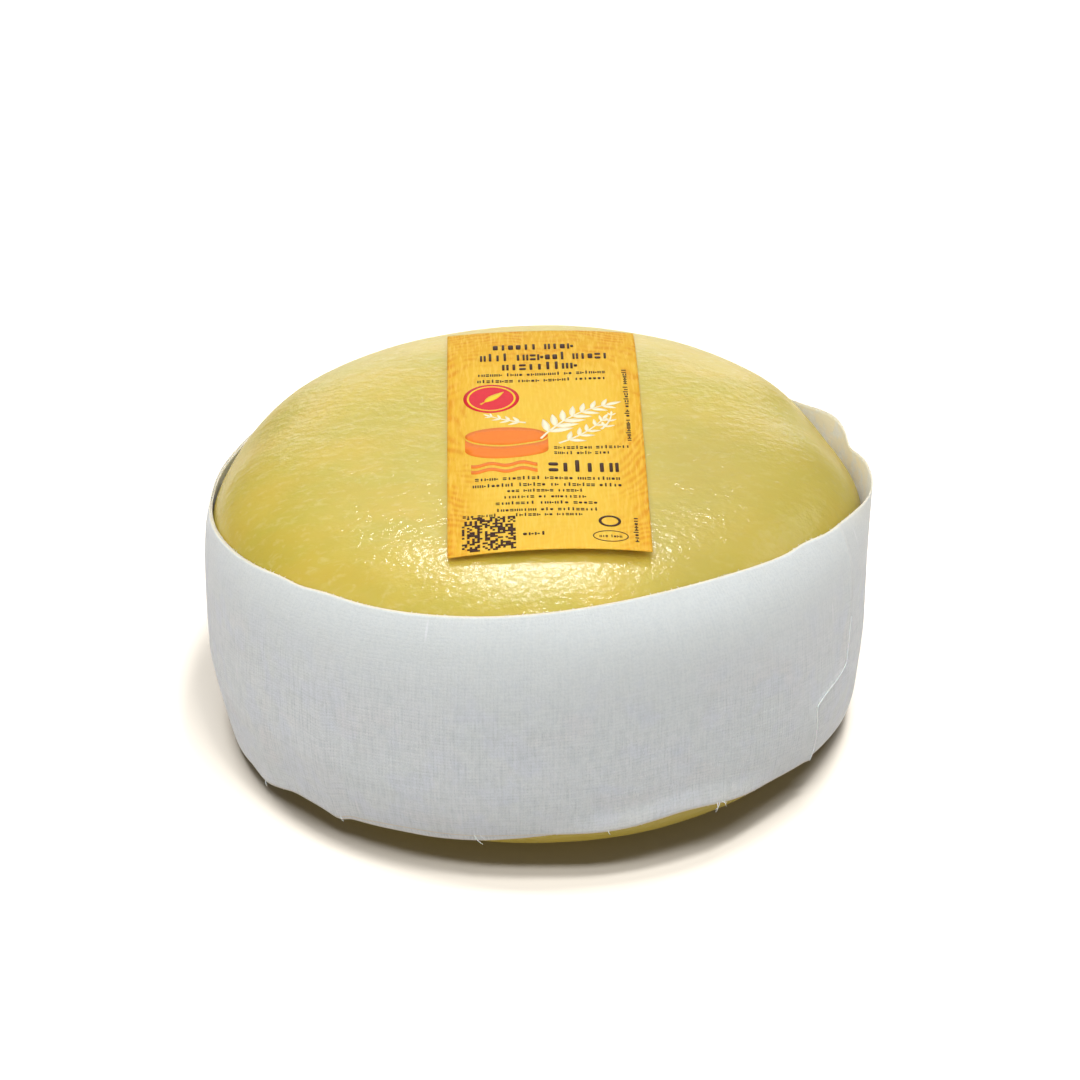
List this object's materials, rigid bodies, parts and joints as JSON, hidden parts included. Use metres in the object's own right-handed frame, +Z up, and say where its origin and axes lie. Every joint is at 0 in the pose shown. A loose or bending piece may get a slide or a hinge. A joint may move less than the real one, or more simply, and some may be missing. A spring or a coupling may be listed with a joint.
{
  "type": "whole cured cheese in a cloth band",
  "caption": "Small squat wheel of cured yellow cheese with rounded shoulders, a strip of white cotton cloth wound round its side and a paper label lying on top.",
  "frame": {"origin": "middle of the flat face that the cheese rests on", "axes": "+Z up through the middle of the top, -Y towards the front, where the label's near end is, +X to the right as seen from the front"},
  "size_m": [0.1506, 0.1505, 0.0734],
  "materials": {
    "rind": "oiled natural cheese rind, satin to glossy",
    "cotton": "plain woven thin cotton, matte",
    "label": "printed paper, slight sheen"
  },
  "bodies": {
    "root": {"cheese_wheel": "rind", "cloth_band": "cotton", "paper_label": "label"}
  },
  "joints": []
}
